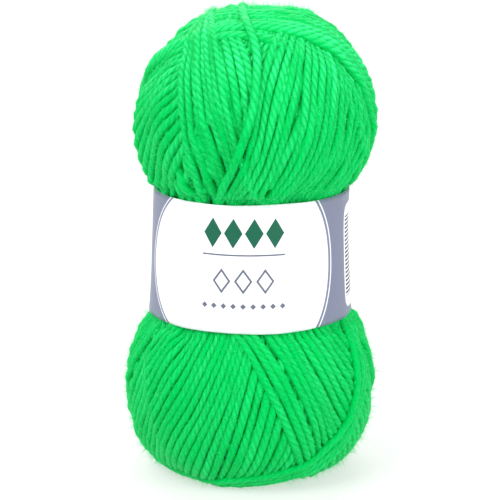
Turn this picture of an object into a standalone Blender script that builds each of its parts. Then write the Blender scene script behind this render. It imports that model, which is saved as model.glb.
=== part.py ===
"""A wound ball of knitting yarn with a paper band, standing on its end.

Metres, +Z up. The origin is the middle of the flat spot that the ball stands on,
and the front of the band faces -Y. Azimuth is 0 at the front and grows towards +X.
"""

import math

import bpy
import numpy as np

MM = 0.001

# Driving dimensions of the ball
HEIGHT_OF_CROWN = 125.5 * MM
FLAT_SPOT_RADIUS = 17.0 * MM
LEAN_AT_FOOT = -0.5 * MM  # the middle line leans: sideways shift at the lower belly
LEAN_AT_CROWN = 1.9 * MM
LEAN_LEVEL = 60.0 * MM  # height at which the middle line is over the origin

# Outline of the wound form from the crown to the flat spot
OUTLINE = (
    # place, radius, height
    ("dimple floor", 2.0 * MM, 121.0 * MM),
    ("dimple wall", 4.5 * MM, 123.3 * MM),
    ("crown", 9.0 * MM, HEIGHT_OF_CROWN),
    ("crown edge", 15.0 * MM, 123.7 * MM),
    ("shoulder", 21.5 * MM, 119.2 * MM),
    ("upper slope", 26.8 * MM, 113.0 * MM),
    ("upper side", 30.4 * MM, 105.0 * MM),
    ("upper belly", 32.0 * MM, 96.0 * MM),
    ("upper tuck", 30.7 * MM, 87.0 * MM),
    ("over the band", 28.2 * MM, 81.4 * MM),
    ("band top", 25.2 * MM, 78.7 * MM),
    ("waist", 24.9 * MM, 62.0 * MM),
    ("band foot", 26.2 * MM, 44.1 * MM),
    ("under the band", 29.2 * MM, 40.6 * MM),
    ("lower tuck", 32.2 * MM, 34.0 * MM),
    ("lower belly", 33.6 * MM, 25.0 * MM),
    ("lower side", 32.7 * MM, 15.5 * MM),
    ("heel", 29.8 * MM, 7.6 * MM),
    ("heel edge", 24.5 * MM, 2.2 * MM),
    ("flat spot", FLAT_SPOT_RADIUS, 0.0),
)
COLUMNS = 96  # faces round the ball
RING_GAP = 2.9 * MM  # distance between rings along the outline

# The winding: each wrap is a loop that rises past one side of an end, clears the
# middle of that end and falls on the other side. Its phase is the azimuth at which
# its falling side crosses the belly.
ROPE_WIDTH = 9.5 * MM  # wraps lie side by side in ropes about this wide
ROPE_RELIEF = 0.9 * MM
EDGE_FADE = 2.0 * MM  # a wrap's edge falls away over this distance
BAND_FADE = 3.5 * MM  # relief dies out over this distance from the band
FOOT_FADE = 4.0 * MM  # and from the flat spot
CROWN_FADE = (10.0 * MM, 17.0 * MM)  # and between these radii at the crown
MEAN_RELIEF = 1.2 * MM  # the outline lies this far over the lowest grooves
WRAPS = (
    # end, first phase, last phase in degrees, clearance at end, belly and band, relief
    ("upper", 0, 360, 13 * MM, 10 * MM, 11 * MM, 0.0 * MM),
    ("upper", 170, 215, 12 * MM, 8 * MM, 12 * MM, 0.6 * MM),
    ("upper", 8, 34, 12 * MM, 9 * MM, 10 * MM, 0.6 * MM),
    ("upper", 143, 165, 12 * MM, 6 * MM, 12 * MM, 1.1 * MM),
    ("upper", 66, 130, 12 * MM, 12 * MM, 12 * MM, 0.9 * MM),
    ("upper", -34, 8, 12 * MM, 11 * MM, 9 * MM, 1.4 * MM),
    ("lower", 0, 360, 14 * MM, 13 * MM, 13 * MM, 0.0 * MM),
    ("lower", 118, 190, 13 * MM, 13 * MM, 12 * MM, 0.4 * MM),
    ("lower", 12, 62, 13 * MM, 13 * MM, 12 * MM, 1.1 * MM),
    ("lower", 250, 288, 22 * MM, 14 * MM, 2 * MM, 1.6 * MM),
)

# Driving dimensions of the paper band
BAND_FOOT = 44.2 * MM
BAND_TOP = 78.6 * MM
BAND_RADII = (27.4 * MM, 26.75 * MM, 26.35 * MM, 26.25 * MM)  # outside, foot to top
BAND_THICKNESS = 0.45 * MM
OVERLAP_ARC = 13.0 * MM  # width of the glued lap at the back
OVERLAP_RAMP = 1.6 * MM  # the upper sheet's edge comes down over this distance


def clear_scene():
    for obj in list(bpy.data.objects):
        bpy.data.objects.remove(obj)


def finish(name, hex_colour, roughness):
    """A matt dielectric in an sRGB colour."""
    channels = [int(hex_colour[i : i + 2], 16) / 255 for i in (0, 2, 4)]
    linear = [
        c / 12.92 if c <= 0.04045 else ((c + 0.055) / 1.055) ** 2.4 for c in channels
    ]
    material = bpy.data.materials.new(name)
    material.use_nodes = True
    shader = material.node_tree.nodes["Principled BSDF"]
    shader.inputs["Base Color"].default_value = (*linear, 1.0)
    shader.inputs["Roughness"].default_value = roughness
    shader.inputs["Metallic"].default_value = 0.0
    return material


def smooth_step(x):
    x = np.clip(x, 0.0, 1.0)
    return x * x * (3 - 2 * x)


def through(points, gap):
    """Points about gap apart on a Catmull-Rom curve through the given points."""
    points = np.asarray(points, float)
    before = 2 * points[0] - points[1]
    after = 2 * points[-1] - points[-2]
    control = np.vstack([before, points, after])
    made = []
    for a, b, c, d in zip(control, control[1:], control[2:], control[3:]):
        steps = max(1, round(math.dist(b, c) / gap))
        for t in np.arange(steps) / steps:
            made.append(
                0.5
                * (
                    2 * b
                    + (c - a) * t
                    + (2 * a - 5 * b + 4 * c - d) * t**2
                    + (3 * b - a - 3 * c + d) * t**3
                )
            )
    made.append(points[-1])
    return np.array(made)


def sideways(heights):
    """How far the ball's middle line has leant at each height."""
    below = LEAN_AT_FOOT * smooth_step((LEAN_LEVEL - heights) / LEAN_LEVEL)
    rise = (heights - LEAN_LEVEL) / (HEIGHT_OF_CROWN - LEAN_LEVEL)
    return below + LEAN_AT_CROWN * np.clip(rise, 0, 1) ** 1.5


def turned(radii, along, end_clear, belly_clear, band_clear, from_band):
    """Azimuth that a wrap turns through between its highest point and each ring.

    On a taut wrap the radius times the sine of its slant stays equal to its
    clearance. Friction lets the clearance differ between the end, the belly
    and the band.
    """
    nearness = np.clip(from_band / from_band.max(), 0, 1)
    clear = np.interp(nearness, (0, 0.45, 1), (band_clear, belly_clear, end_clear))
    clear = np.minimum(clear, radii * 0.995)
    rate = clear / (radii * np.sqrt(radii**2 - clear**2))
    steps = 0.5 * (rate[1:] + rate[:-1]) * np.diff(along)
    return np.degrees(np.concatenate([[0], np.cumsum(steps)]))


def within(phase, first, last, fade):
    """1 inside the range of phases, falling to 0 outside it over fade degrees."""
    width = last - first
    if width >= 360:
        return np.ones_like(phase)
    past = (phase - first) % 360
    inside = np.where(past > 180 + width / 2, past - 360, past)
    distance = np.maximum(-inside, inside - width)
    return smooth_step(0.5 - distance / fade)


def relief(rings):
    """Height of the wound ropes over the plain outline, one row for each ring."""
    radii, heights = rings.T
    middle = 0.5 * (BAND_FOOT + BAND_TOP)
    arc = np.concatenate([[0], np.cumsum(np.hypot(*np.diff(rings, axis=0).T))])
    azimuth = np.arange(COLUMNS) * 360 / COLUMNS
    made = np.zeros((len(rings), COLUMNS))
    for end, first, last, end_clear, belly_clear, band_clear, height in WRAPS:
        side = 1 if end == "upper" else -1
        rows = np.flatnonzero((heights - middle) * side > 0)
        rows = rows if side > 0 else rows[::-1]
        rows = rows[radii[rows] > end_clear * 0.9]
        along = np.abs(arc[rows] - arc[rows[0]])
        from_band = along[-1] - along
        turn = turned(radii[rows], along, end_clear, belly_clear, band_clear, from_band)
        belly = radii[rows].max()
        for half in (-1, 1):
            phase = azimuth[None, :] + side * 90 + side * half * turn[:, None]
            fade = np.degrees(EDGE_FADE / radii[rows])[:, None]
            cover = within(phase, first, last, fade)
            rope = np.radians(phase - first) * belly / ROPE_WIDTH
            swell = 0.5 - 0.5 * np.cos(2 * np.pi * rope)
            level = height + ROPE_RELIEF * swell
            made[rows] = made[rows] * (1 - cover) + level * cover
    gap = np.maximum(heights - BAND_TOP, BAND_FOOT - heights)
    fade_band = smooth_step(gap / BAND_FADE)
    fade_foot = smooth_step(heights / FOOT_FADE)
    inner, outer = CROWN_FADE
    from_crown = np.where(heights > middle, (radii - inner) / (outer - inner), 1)
    fade = fade_band * fade_foot * smooth_step(from_crown)
    return (made - MEAN_RELIEF) * fade[:, None]


def wound_ball():
    rings = through([row[1:] for row in OUTLINE], RING_GAP)
    rings[:, 1] = np.maximum(rings[:, 1], 0)
    slope = np.gradient(rings, axis=0)
    outward = np.column_stack([-slope[:, 1], slope[:, 0]])
    outward /= np.linalg.norm(outward, axis=1)[:, None]
    raised = relief(rings)
    azimuth = np.radians(np.arange(COLUMNS) * 360 / COLUMNS)
    radii = rings[:, :1] + outward[:, :1] * raised
    heights = np.maximum(rings[:, 1:] + outward[:, 1:] * raised, 0)
    x = radii * np.sin(azimuth) + sideways(heights)
    y = -radii * np.cos(azimuth)
    points = np.stack([x, y, heights], axis=-1).reshape(-1, 3)
    faces = []
    for ring in range(len(rings) - 1):
        for column in range(COLUMNS):
            beside = (column + 1) % COLUMNS
            upper = ring * COLUMNS
            lower = upper + COLUMNS
            faces.append((upper + column, lower + column, lower + beside, upper + beside))
    last = (len(rings) - 1) * COLUMNS
    faces.append(tuple(range(COLUMNS)))
    faces.append(tuple(last + column for column in reversed(range(COLUMNS))))
    mesh = bpy.data.meshes.new("yarn_ball")
    mesh.from_pydata(points.tolist(), [], faces)
    mesh.shade_smooth()
    ball = bpy.data.objects.new("yarn_ball", mesh)
    bpy.context.collection.objects.link(ball)
    mesh.materials.append(finish("acrylic_yarn_green", "04DA68", 0.85))
    return ball


def paper_band():
    """A closed loop of paper whose ends lap at the back."""
    rows = len(BAND_RADII)
    levels = np.linspace(BAND_FOOT, BAND_TOP, rows)
    azimuth = np.arange(COLUMNS) * 2 * np.pi / COLUMNS
    from_back = np.abs((azimuth + np.pi) % (2 * np.pi) - np.pi)
    from_back = (np.pi - from_back) * BAND_RADII[1]
    lapped = smooth_step((0.5 * OVERLAP_ARC - from_back) / OVERLAP_RAMP)
    outside = [(r + BAND_THICKNESS * lapped, z) for r, z in zip(BAND_RADII, levels)]
    plain = np.zeros(COLUMNS)
    inside = [(r - BAND_THICKNESS + plain, z) for r, z in zip(BAND_RADII, levels)]
    loops = outside + inside[::-1]
    points = [
        (r * math.sin(a) + float(sideways(level)), -r * math.cos(a), level)
        for radii, level in loops
        for r, a in zip(radii, azimuth)
    ]
    faces = []
    for loop in range(len(loops)):
        for column in range(COLUMNS):
            beside = (column + 1) % COLUMNS
            here = loop * COLUMNS
            there = (loop + 1) % len(loops) * COLUMNS
            faces.append((here + column, here + beside, there + beside, there + column))
    mesh = bpy.data.meshes.new("paper_band")
    mesh.from_pydata(points, [], faces)
    mesh.shade_smooth()
    mesh.set_sharp_from_angle(angle=math.radians(40))
    band = bpy.data.objects.new("paper_band", mesh)
    bpy.context.collection.objects.link(band)
    mesh.materials.append(finish("coated_paper_grey", "9A9DB2", 0.45))
    return band


def stand_on_origin(pieces):
    """Move the pieces together until the middle of their outline is on the Z axis."""
    corners = np.array([corner for piece in pieces for corner in piece.bound_box])
    middle = 0.5 * (corners.min(axis=0) + corners.max(axis=0))
    for piece in pieces:
        piece.location = (-middle[0], -middle[1], 0.0)


clear_scene()
stand_on_origin([wound_ball(), paper_band()])
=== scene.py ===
# %% [markdown]
# # A wound ball of knitting yarn with a paper band
#
# The real thing is a 50 g ball of four-ply acrylic yarn. A winding machine lays one long
# yarn round and round until it is a fat barrel, and a printed paper band holds it at the waist.
# The frame gives the ball's size and place. This notebook winds the yarn again on that shape,
# strand by strand, and prints the band, so that every surface the eye meets is a real form.

import math

import bpy
import numpy as np
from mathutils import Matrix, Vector


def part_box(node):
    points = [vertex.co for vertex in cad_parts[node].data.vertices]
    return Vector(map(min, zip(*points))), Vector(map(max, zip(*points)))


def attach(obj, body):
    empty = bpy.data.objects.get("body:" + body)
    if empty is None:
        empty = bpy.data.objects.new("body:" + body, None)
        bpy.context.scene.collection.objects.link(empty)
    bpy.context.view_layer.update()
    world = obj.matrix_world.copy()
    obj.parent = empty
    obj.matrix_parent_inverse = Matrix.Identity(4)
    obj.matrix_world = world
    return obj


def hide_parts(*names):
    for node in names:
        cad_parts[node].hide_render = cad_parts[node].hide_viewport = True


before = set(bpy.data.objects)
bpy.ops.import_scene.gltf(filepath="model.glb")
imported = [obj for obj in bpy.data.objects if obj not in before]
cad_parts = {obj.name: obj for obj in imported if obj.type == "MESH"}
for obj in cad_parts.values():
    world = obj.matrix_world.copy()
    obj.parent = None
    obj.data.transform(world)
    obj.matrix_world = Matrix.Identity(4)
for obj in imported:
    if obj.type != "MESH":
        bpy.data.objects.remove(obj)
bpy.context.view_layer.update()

# %% [markdown]
# ## The sizes
#
# All lengths below are millimetres and all angles are degrees. Azimuth is 0 at the front of the
# band and grows towards the right. The ball is described by its outline, from the dimple in the
# crown down to the flat spot it stands on, and by a middle line that leans a little.

# %% Sizes of the ball and the band
MM = 0.001  # one millimetre in Blender's metres
HEIGHT_OF_CROWN = 125.5
LEAN_AT_FOOT = -0.5  # sideways shift of the middle line at the foot
LEAN_AT_CROWN = 1.9  # and at the crown
LEAN_LEVEL = 60.0  # height at which it has no shift
LEAN_BEND = 1.5  # above that the lean grows by this power
SLUMP = 0.55  # the upper end has slid a little further
SLUMP_ABOVE = 1.0  # it starts to slide this far above the band,
SLUMP_RISE = 10.0  # has slid in full this much higher
SLUMP_FADE = 9.0  # and comes back over this height under the crown
BAND_FOOT = 44.2
BAND_TOP = 78.6
BAND_RADII = (27.4, 26.75, 26.35, 26.25)  # outside, from foot to top

OUTLINE = (
    # place, radius, height
    ("dimple floor", 2.0, 121.0),
    ("dimple wall", 4.5, 123.3),
    ("crown", 9.0, HEIGHT_OF_CROWN),
    ("crown edge", 15.0, 123.7),
    ("shoulder", 21.5, 119.2),
    ("upper slope", 26.8, 113.0),
    ("upper side", 30.4, 105.0),
    ("upper belly", 32.0, 96.0),
    ("upper tuck", 30.7, 87.0),
    ("over the band", 28.2, 81.4),
    ("band top", 25.2, 78.7),
    ("waist", 24.9, 62.0),
    ("band foot", 26.2, 44.1),
    ("under the band", 29.2, 40.6),
    ("lower tuck", 32.2, 34.0),
    ("lower belly", 33.6, 25.0),
    ("lower side", 32.7, 15.5),
    ("heel", 29.8, 7.6),
    ("heel edge", 24.5, 2.2),
    ("flat spot", 17.0, 0.0),
)


def smooth_step(x):
    """0 below 0, 1 above 1 and a soft slope between."""
    x = np.clip(x, 0.0, 1.0)
    return x * x * (3 - 2 * x)


def sideways(heights):
    """How far the middle line has leant at each height, with a little slump above the band."""
    below = LEAN_AT_FOOT * smooth_step((LEAN_LEVEL - heights) / LEAN_LEVEL)
    rise = (heights - LEAN_LEVEL) / (HEIGHT_OF_CROWN - LEAN_LEVEL)
    above = LEAN_AT_CROWN * np.clip(rise, 0, 1) ** LEAN_BEND
    slump = smooth_step((heights - BAND_TOP - SLUMP_ABOVE) / SLUMP_RISE)
    slump = slump * smooth_step((HEIGHT_OF_CROWN - heights) / SLUMP_FADE)
    return below + above + SLUMP * slump


band_low, band_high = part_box("paper_band")
AXIS_X = 0.5 * (band_low.x + band_high.x) / MM - float(sideways(BAND_FOOT))
AXIS_Y = band_low.y / MM + BAND_RADII[0]
print("middle line at", round(AXIS_X, 3), round(AXIS_Y, 3))

# %% [markdown]
# ## The camera
#
# A long lens far away keeps the barrel's sides nearly straight. The distance and the lens come
# from the ellipses of the band's two edges: how much they curve gives the camera's height.

# %% Camera
PICTURE_WIDTH = 500  # pixels
CAMERA_DISTANCE = 700.0
CAMERA_ELEVATION = 13.79
MM_PER_PIXEL = 0.27  # at the middle of the ball
CAMERA_TARGET = Vector((0.32, -0.59, 60.285)) * MM
SENSOR_WIDTH = 36.0


def make_camera():
    data = bpy.data.cameras.new("studio_camera")
    data.sensor_width = SENSOR_WIDTH
    data.lens = SENSOR_WIDTH * CAMERA_DISTANCE / MM_PER_PIXEL / PICTURE_WIDTH
    data.clip_start = 0.05
    data.clip_end = 20.0
    camera = bpy.data.objects.new("studio_camera", data)
    bpy.context.scene.collection.objects.link(camera)
    rise = math.radians(CAMERA_ELEVATION)
    back = Vector((0.0, -math.cos(rise), math.sin(rise)))
    camera.location = CAMERA_TARGET + back * CAMERA_DISTANCE * MM
    camera.rotation_euler = (-back).to_track_quat("-Z", "Y").to_euler()
    bpy.context.scene.camera = camera
    return camera


print("lens in mm:", round(make_camera().data.lens, 1))

# %% [markdown]
# ## Curves through points
#
# The outline and the few free strands are given by listed points. A Catmull-Rom curve
# passes through every one of its points, so a point can be read off the ball and used as it is.

# %% Helpers for curves
CHART_STEP = 0.25  # distance between the outline's points


def through(points, gap):
    """Points about gap apart on a Catmull-Rom curve through the given points."""
    points = np.asarray(points, float)
    before = 2 * points[0] - points[1]
    after = 2 * points[-1] - points[-2]
    control = np.vstack([before, points, after])
    made = []
    for a, b, c, d in zip(control, control[1:], control[2:], control[3:]):
        steps = max(1, round(math.dist(b, c) / gap))
        t = (np.arange(steps) / steps)[:, None]
        curve = 2 * b + (c - a) * t + (2 * a - 5 * b + 4 * c - d) * t**2
        made.append(0.5 * (curve + (3 * b - a - 3 * c + d) * t**3))
    made.append(points[-1:])
    return np.vstack(made)


def distance_along(points):
    steps = np.linalg.norm(np.diff(points, axis=0), axis=1)
    return np.concatenate([[0.0], np.cumsum(steps)])


def averaged(values, width):
    """Running mean over an odd number of samples, with the ends held."""
    padded = np.pad(values, width // 2, mode="edge")
    return np.convolve(padded, np.ones(width) / width, mode="valid")


whole_outline = through([row[1:] for row in OUTLINE], CHART_STEP)
print("outline points:", len(whole_outline), "length in mm:", round(distance_along(whole_outline)[-1]))

# %% [markdown]
# ## The two ends as surfaces
#
# Each end of the ball is a surface of turning, so a point on it needs two numbers: its azimuth
# and its distance along the outline from the pole. Yarn is then laid on that flat chart, which
# is much simpler than working in space, and only the finished strands are placed in space.

# %% One end of the ball
POLE_GAP = 0.2  # the outline starts this far from the pole
DIMPLE_BRIDGED = 0.7  # wraps that cross the dimple fill this share of its depth
TUCK = 4.2  # the yarn is modelled this far under the band's edge
AT_EDGE = 0.1  # heights this near the band's edge count as under it
FACING = 7  # outline points averaged for one outward direction
HEIGHT_CELL = 0.3  # cell of the height map along the outline
AZIMUTH_CELL = 0.5  # and round the ball


class End:
    """One end of the ball: its outline from pole to band and a map of the yarn laid on it."""

    def __init__(self, name, side):
        self.name = name
        self.side = side
        if side > 0:
            outline = whole_outline[whole_outline[:, 1] > BAND_TOP - TUCK]
            pole = [(POLE_GAP, outline[0, 1])]
        else:
            outline = whole_outline[whole_outline[:, 1] < BAND_FOOT + TUCK][::-1]
            flat = np.arange(POLE_GAP, outline[0, 0], CHART_STEP)
            pole = np.column_stack([flat, np.zeros_like(flat)])
        outline = np.vstack([pole, outline])
        arc = distance_along(outline)
        self.arc = np.arange(0, arc[-1], CHART_STEP)
        self.radius = np.interp(self.arc, arc, outline[:, 0])
        self.height = np.maximum(np.interp(self.arc, arc, outline[:, 1]), 0)
        inside = self.arc < self.arc[self.height.argmax()]
        bridged = DIMPLE_BRIDGED * (self.height.max() - self.height)
        self.height += np.where(inside & (side > 0), bridged, 0)
        run = averaged(np.gradient(self.radius), FACING)
        rise = averaged(np.gradient(self.height), FACING)
        length = np.hypot(run, rise)
        self.out_radius = -side * rise / length
        self.out_height = side * run / length
        edge = BAND_TOP if side > 0 else BAND_FOOT
        past_belly = self.arc > self.arc[self.radius.argmax()]
        self.band_arc = self.arc[past_belly & ((self.height - edge) * side < AT_EDGE)][0]
        rows = int(self.arc[-1] / HEIGHT_CELL) + 2
        self.map = np.zeros((rows, int(360 / AZIMUTH_CELL)))

    def ring(self, arc):
        """Radius and height of the outline at a distance from the pole."""
        return np.interp(arc, self.arc, self.radius), np.interp(arc, self.arc, self.height)

    def cell(self, azimuth, arc):
        rows = np.clip(np.rint(arc / HEIGHT_CELL).astype(int), 0, self.map.shape[0] - 1)
        columns = np.rint(azimuth / AZIMUTH_CELL).astype(int) % self.map.shape[1]
        return rows, columns

    def place(self, azimuth, arc, lift):
        """Points in the frame, in millimetres, lifted off the outline."""
        radius, height = self.ring(arc)
        radius = radius + lift * np.interp(arc, self.arc, self.out_radius)
        height = height + lift * np.interp(arc, self.arc, self.out_height)
        return round_the_axis(radius, np.radians(azimuth), height)

    def outward(self, azimuth, arc):
        angle = np.radians(azimuth)
        across = np.interp(arc, self.arc, self.out_radius)
        up = np.interp(arc, self.arc, self.out_height)
        return np.stack([across * np.sin(angle), -across * np.cos(angle), up], axis=-1)


def round_the_axis(radius, angle, height):
    """Points at a radius and angle from the leaning middle line."""
    x = radius * np.sin(angle) + sideways(height) + AXIS_X
    y = -radius * np.cos(angle) + AXIS_Y
    return np.stack([x, y, height], axis=-1)


upper = End("upper", 1)
lower = End("lower", -1)
for end in (upper, lower):
    print(end.name, "end: outline", round(end.arc[-1], 1), "mm, band edge at", end.band_arc)

# %% [markdown]
# ## The path of one wrap
#
# A taut yarn on a round body keeps its radius times the sine of its slant constant, so each wrap
# rises past one side of an end, clears the pole by that amount and falls on the other side.
# Friction lets the clearance change a little between the end, the belly and the band, so a wrap
# is given by its phase (where it is turned to) and three clearances.

# %% Wrap paths
PATH_STEP = 0.25  # distance between samples on a path
HALF_SAMPLES = 400  # places on half a wrap, closest together near the pole
AT_BELLY = 0.45  # share of the way from the band to the pole where the belly's clearance holds
CLEAR_SHARE = 0.9995  # a clearance stays just under the radius, where the yarn would run round


def half_wrap(end, at_end, at_belly, at_band):
    """Distance from the pole and turn round the ball, from nearest the pole to the band."""
    rising = end.arc <= end.arc[end.radius.argmax()]
    first = np.interp(at_end, end.radius[rising], end.arc[rising])
    fine = np.linspace(0, 1, HALF_SAMPLES) ** 2
    arc = first + fine * (end.arc[-1] - first)
    radius, _ = end.ring(arc)
    near = np.clip((end.band_arc - arc) / (end.band_arc - first), 0, 1)
    clear = np.interp(near, (0, AT_BELLY, 1), (at_band, at_belly, at_end))
    clear = np.minimum(clear, radius * CLEAR_SHARE)
    rate = clear / (radius * np.sqrt(radius**2 - clear**2))
    turn = np.cumsum(0.5 * (rate[1:] + rate[:-1]) * np.diff(arc))
    return arc, np.degrees(np.concatenate([[0], turn]))


def wrap_path(end, phase, clears, others=None):
    """Azimuth and distance from the pole along one whole wrap, from band to band.

    The first half slants like a slash. Others are the belly and band clearances of the
    second half, where they differ.
    """
    arc_in, turn_in = half_wrap(end, *clears)
    arc_out, turn_out = half_wrap(end, clears[0], *(clears[1:] if others is None else others))
    middle = phase - end.side * 90
    azimuth = np.concatenate([middle - end.side * turn_in[:0:-1], middle + end.side * turn_out])
    return azimuth, np.concatenate([arc_in[:0:-1], arc_out])


def key_wrap(end, half, key):
    """The path of one key wrap, whose main clearances belong to the half that shows."""
    phase, at_end, belly, band, *others = key
    others = others or (belly, band)
    if half > 0:
        return wrap_path(end, phase, (at_end, belly, band), others)
    return wrap_path(end, phase, (at_end, *others), (belly, band))


def resampled(end, azimuth, arc, *more):
    """The same path with even steps, other values along it, and the distance along it."""
    along = distance_along(end.place(azimuth, arc, 0.0))
    even = np.arange(0, along[-1], PATH_STEP)
    return (*(np.interp(even, along, row) for row in (azimuth, arc, *more)), even)


def directions(end, azimuth, arc):
    """How much a path runs round the ball and how much out from the pole at each sample."""
    radius, _ = end.ring(arc)
    round_step = np.gradient(np.radians(azimuth)) * radius
    out_step = np.gradient(arc)
    length = np.hypot(round_step, out_step) + 1e-9
    return round_step / length, out_step / length


print("one wrap:", round(resampled(upper, *wrap_path(upper, 0, (12, 10, 10)))[-1][-1]), "mm")

# %% [markdown]
# ## Unevenness
#
# No real winding is perfect. All the strays come from one seeded source of random numbers, so
# the ball is the same each time. A stray has to change slowly along a yarn, so random numbers
# are set far apart and a smooth curve runs through them.

# %% Seeded, slowly changing strays
SEED = 20
dice = np.random.default_rng(SEED)


def wandering(count, step, reach):
    """Smooth random numbers of spread 1 that change over about reach millimetres."""
    knots = np.arange(0, count * step + 3 * reach, reach)
    values = dice.normal(0, 1, len(knots))
    return np.interp(np.arange(count) * step, knots, values)


print("one source of strays, with seed", SEED)

# %% [markdown]
# ## Laying a strand
#
# Each new strand lies on what is already there. Its height is found like that of a stretched
# string: it rests on the high spots and runs straight between them, while the ball curves away
# underneath. The strand then adds its own rounded back to the map for the strands after it.

# %% Lay one strand on the map
YARN_DIAMETER = 2.3
WOBBLE = 0.06  # how far a strand strays sideways by itself
WOBBLE_REACH = 14.0  # and over what length
BEDDED = 1.22  # how much a soft strand adds to the height when it is pressed in
LEAST_ADDED = 0.35  # share of that which it adds where it runs round the ball
STIFF_SHARE = 0.7  # share of the stretched string, against following each bump
SOFTENED = 13  # samples over which a strand evens out what it lies on
BACK_SHARE = 0.95  # the back is taken up to this share of the radius
ACROSS = np.linspace(-0.5, 0.5, 9) * YARN_DIAMETER
BACK = np.sqrt(1 - (ACROSS / YARN_DIAMETER * (2 * BACK_SHARE)) ** 2)  # rounded back of a strand
strands = []


def stretched(along, below, bend):
    """Height of a stretched string over the heights below, on a surface that bends away."""
    slope = np.cumsum(bend) * PATH_STEP
    fall = np.cumsum(slope) * PATH_STEP
    level = below - fall
    kept = []
    for i in range(len(along)):
        while len(kept) > 1:
            a, b = kept[-2:]
            rise = (level[b] - level[a]) * (along[i] - along[a])
            if rise > (level[i] - level[a]) * (along[b] - along[a]):
                break
            kept.pop()
        kept.append(i)
    return np.interp(along, along[kept], level[kept]) + fall


def lay(end, azimuth, arc, room, rope, shared, proud=0.0, size=1.0):
    """Lay one strand along a path, keep it in the list and add it to the end's map."""
    azimuth, arc, room, along = resampled(end, azimuth, arc, room)
    count = len(along)
    radius, _ = end.ring(arc)
    round_share, out_share = directions(end, azimuth, arc)
    off = shared[:count] + WOBBLE * wandering(count, PATH_STEP, WOBBLE_REACH)
    azimuth = azimuth - np.degrees(off * out_share / radius)
    arc = np.clip(arc + off * round_share, 0, end.arc[-1])
    across = ACROSS[None, :] * room[:, None]
    wide = -np.degrees(across * (out_share / radius)[:, None])
    cells = end.cell(azimuth[:, None] + wide, arc[:, None] + across * round_share[:, None])
    below = end.map[cells][:, 1:-1].mean(axis=1)
    line = end.place(azimuth, arc, 0.0)
    curve = np.gradient(np.gradient(line, PATH_STEP, axis=0), PATH_STEP, axis=0)
    bend = averaged(-(curve * end.outward(azimuth, arc)).sum(axis=1), SOFTENED)
    height = STIFF_SHARE * stretched(along, below, bend)
    height += (1 - STIFF_SHARE) * averaged(below, SOFTENED)
    added = BEDDED * size * np.clip(np.abs(out_share), LEAST_ADDED, 1)
    top = height[:, None] + added[:, None] * BACK[None, :]
    np.maximum.at(end.map, cells, top)
    strands.append(
        {
            "end": end,
            "rope": rope,
            "azimuth": azimuth,
            "arc": arc,
            "along": along,
            "height": height,
            "added": added,
            "room": room,  # share of its width that its neighbours leave it
            "size": size,
            "proud": proud,  # how far it stands off by its own stiffness
        }
    )


print("a strand's back, as shares of its height:", np.round(BACK, 2))

# %% [markdown]
# ## The winding plan
#
# The machine first covers the whole core, then lays ropes of neighbouring wraps. The order
# matters: a later rope lies over the earlier ones, and its edge stands out as a ridge. The
# table lists the ropes in the order of laying. Each rope is given by a few key wraps, found by
# following its edges on the ball, and the wraps between are laid side by side.

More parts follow.
